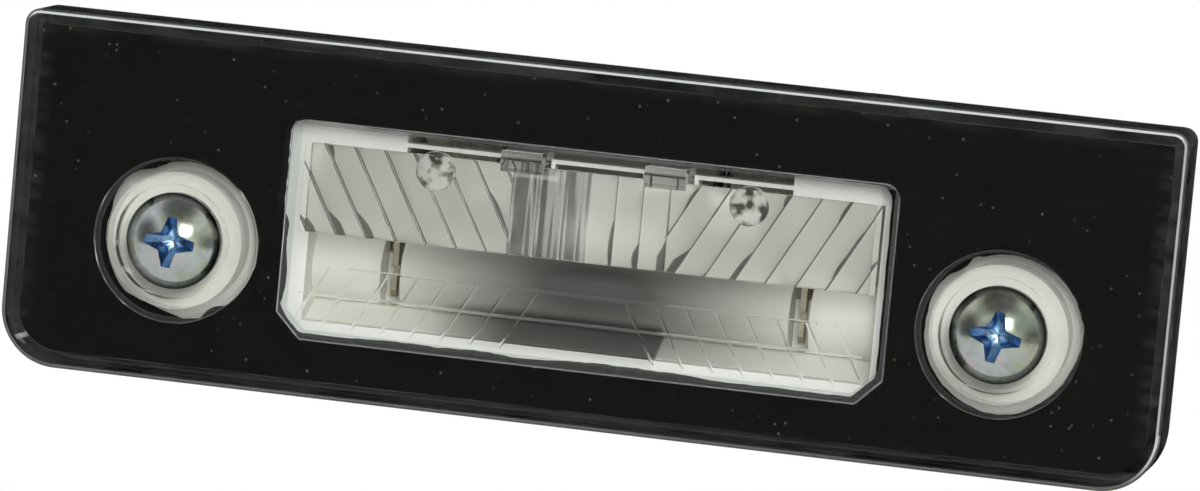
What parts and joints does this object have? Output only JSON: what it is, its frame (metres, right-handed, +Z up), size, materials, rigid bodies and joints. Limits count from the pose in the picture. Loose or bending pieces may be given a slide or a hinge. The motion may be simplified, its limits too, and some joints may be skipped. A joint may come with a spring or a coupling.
{
  "type": "number plate lamp",
  "caption": "Flat car number plate lamp with a clear fluted lens, a foam gasket, a pale housing, a festoon bulb and screws.",
  "frame": {"origin": "on the plane of the car's panel, midway between the two fixing screws", "axes": "+X along the lamp, towards the right as seen from the front; -Y is the front that the light leaves by; +Z is up"},
  "size_m": [0.097, 0.0304, 0.0297],
  "materials": {
    "clear_plastic": "clear moulded plastic, glossy",
    "foam": "black closed-cell foam, matte",
    "housing_plastic": "pale grey moulding, satin",
    "spring_brass": "sprung sheet, dull",
    "terminal_brass": "stamped sheet, satin",
    "bulb_glass": "clear glass",
    "cap_metal": "plated sheet",
    "tungsten": "bare wire",
    "lead_wire": "bare wire",
    "solder": "dull grey",
    "screw_zinc": "blue zinc plating",
    "retainer_rubber": "black, matte"
  },
  "bodies": {
    "root": {"lens": "clear_plastic", "lens_gasket": "foam", "housing": "housing_plastic", "panel_seal": "foam", "contact_left": "spring_brass", "contact_right": "spring_brass", "terminal_left": "terminal_brass", "terminal_right": "terminal_brass", "rivet_left": "terminal_brass", "rivet_right": "terminal_brass", "bulb_glass": "bulb_glass", "bulb_cap_left": "cap_metal", "bulb_cap_right": "cap_metal", "filament": "tungsten", "filament_lead_left": "lead_wire", "filament_lead_right": "lead_wire", "solder_left": "solder", "solder_right": "solder", "screw_left": "screw_zinc", "screw_right": "screw_zinc", "retainer_left": "retainer_rubber", "retainer_right": "retainer_rubber"}
  },
  "joints": []
}
